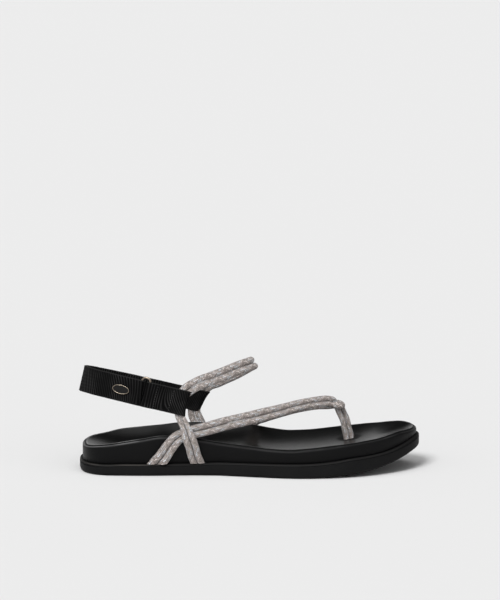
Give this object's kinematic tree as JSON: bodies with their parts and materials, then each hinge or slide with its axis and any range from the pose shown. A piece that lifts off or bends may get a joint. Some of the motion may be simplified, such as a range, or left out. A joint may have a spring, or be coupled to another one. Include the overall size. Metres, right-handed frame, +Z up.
{
  "type": "rope sandal",
  "caption": "Right-foot rope sandal: contoured sole, doubled cord toe and instep straps joined at a toe post, and a ribbed webbing heel strap with a metal ring.",
  "frame": {"origin": "on the floor under the middle of the heel, at the heel's resting lug", "axes": "+X towards the toe, +Y to the inner side of the foot, +Z up"},
  "size_m": [0.2608, 0.0933, 0.0857],
  "materials": {
    "outsole_rubber": "matt moulded black rubber",
    "midsole_foam": "satin moulded black foam",
    "footbed_cover": "smooth matt black cover",
    "cord": "braided taupe-grey cord with pale flecks",
    "webbing": "black ribbed webbing",
    "metal": "polished pale bronze"
  },
  "bodies": {
    "root": {"outsole": "outsole_rubber", "midsole": "midsole_foam", "insole": "footbed_cover", "rope_upper": "cord", "ring_tab": "webbing", "heel_strap": "webbing", "strap_ring": "metal", "badge_plate": "metal"}
  },
  "joints": []
}
